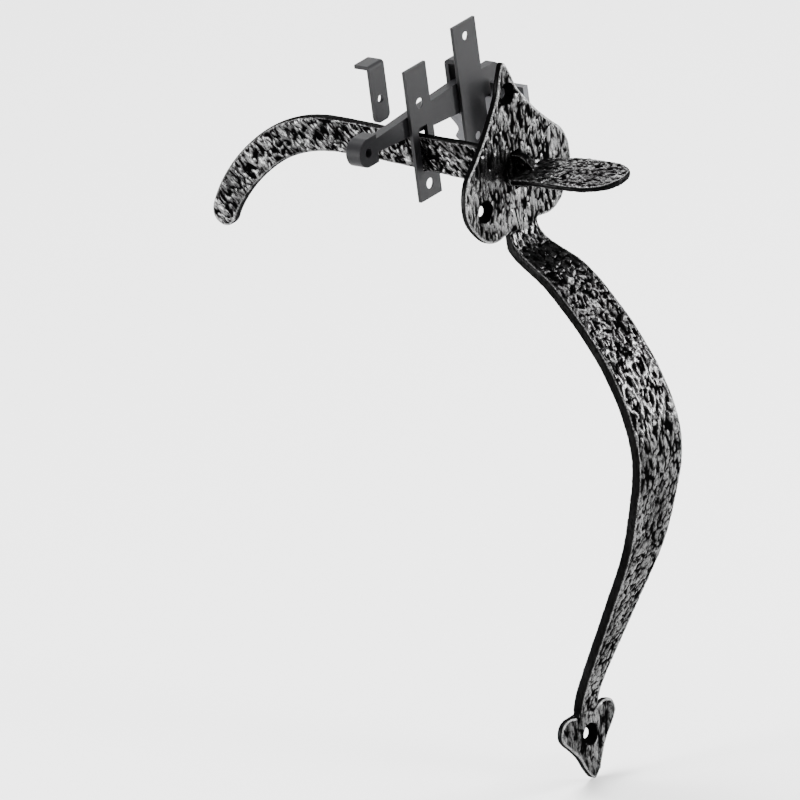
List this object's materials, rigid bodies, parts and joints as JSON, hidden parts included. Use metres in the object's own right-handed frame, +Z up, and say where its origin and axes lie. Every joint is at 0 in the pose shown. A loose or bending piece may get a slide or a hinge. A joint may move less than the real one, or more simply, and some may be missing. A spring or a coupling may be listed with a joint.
{
  "type": "thumb latch",
  "caption": "Black hammered-iron thumb latch: spade-plated bowed handle, long thumb lever, and an inside latch bar with guide plate, keeper, staple, snib and hooked catch.",
  "frame": {"origin": "on the back of the handle's plate, midway between the screw holes in its two side lobes", "axes": "-Y points out of the door's outside face towards the user, +Z up along the handle, +X to the right seen from outside, towards the catch"},
  "size_m": [0.0998, 0.222, 0.3205],
  "materials": {
    "hammered_iron": "hammered black iron with a waxed satin sheen",
    "black_steel": "smooth black satin",
    "brushed_steel": "dark steel, brushed lengthwise"
  },
  "bodies": {
    "fixed": {"handle": "hammered_iron", "lever_pin": "brushed_steel", "guide_plate": "black_steel", "keeper_plate": "black_steel", "staple": "black_steel", "catch": "brushed_steel"},
    "lever": {"thumb_lever": "hammered_iron"},
    "bar": {"latch_bar": "black_steel"},
    "snib": {"snib": "black_steel"}
  },
  "joints": [
    {"name": "lever_press", "type": "hinge", "parent": "fixed", "child": "lever", "pos_m": [0, 0.005, 0.0102], "axis": [1, 0, 0], "range_deg": [0, 3.83]},
    {"name": "bar_lift", "type": "hinge", "parent": "fixed", "child": "bar", "pos_m": [-0.036, 0.0491, 0.02442], "axis": [0, -1, 0], "range_deg": [0, 5]},
    {"name": "snib_turn", "type": "hinge", "parent": "fixed", "child": "snib", "pos_m": [-0.02371, 0.04515, 0.04386], "axis": [0, 1, 0], "range_deg": [-120, 128]}
  ],
  "couplings": [
    {"joint": "bar_lift", "follows": "lever_press", "ratio": 1.3028}
  ]
}
